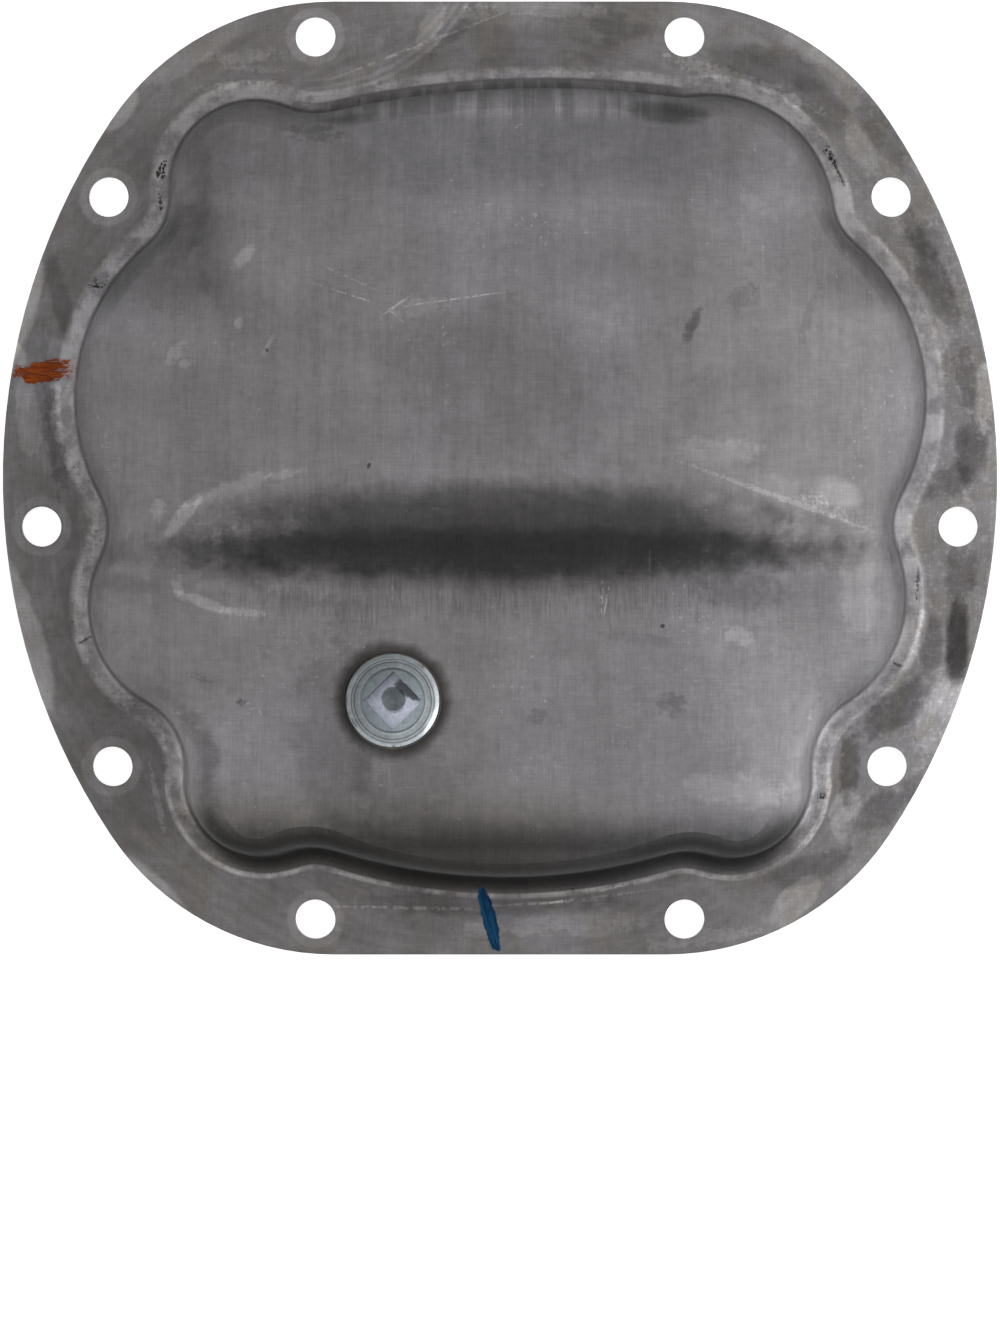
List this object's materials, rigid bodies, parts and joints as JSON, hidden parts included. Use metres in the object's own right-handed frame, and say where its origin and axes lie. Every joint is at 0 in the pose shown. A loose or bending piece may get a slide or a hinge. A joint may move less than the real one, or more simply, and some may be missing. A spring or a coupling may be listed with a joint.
{
  "type": "differential cover",
  "caption": "Pressed steel cover for a drive axle's differential housing, with a bolted flange, a domed pan with a cross trough, and a threaded filler plug.",
  "frame": {"origin": "centre of the mating face, the flat face of the flange that meets the axle housing", "axes": "+Z points out of the dome away from the housing, +Y is the picture's upper edge and +X the picture's right"},
  "size_m": [0.238, 0.2282, 0.0501],
  "materials": {
    "sheet_steel": "bare, lightly stained",
    "bung_steel": "bare, heat tinted",
    "zinc_plate": "zinc plated, pale blue"
  },
  "bodies": {
    "root": {"cover_pan": "sheet_steel", "fill_bung": "bung_steel", "fill_plug": "zinc_plate"}
  },
  "joints": []
}
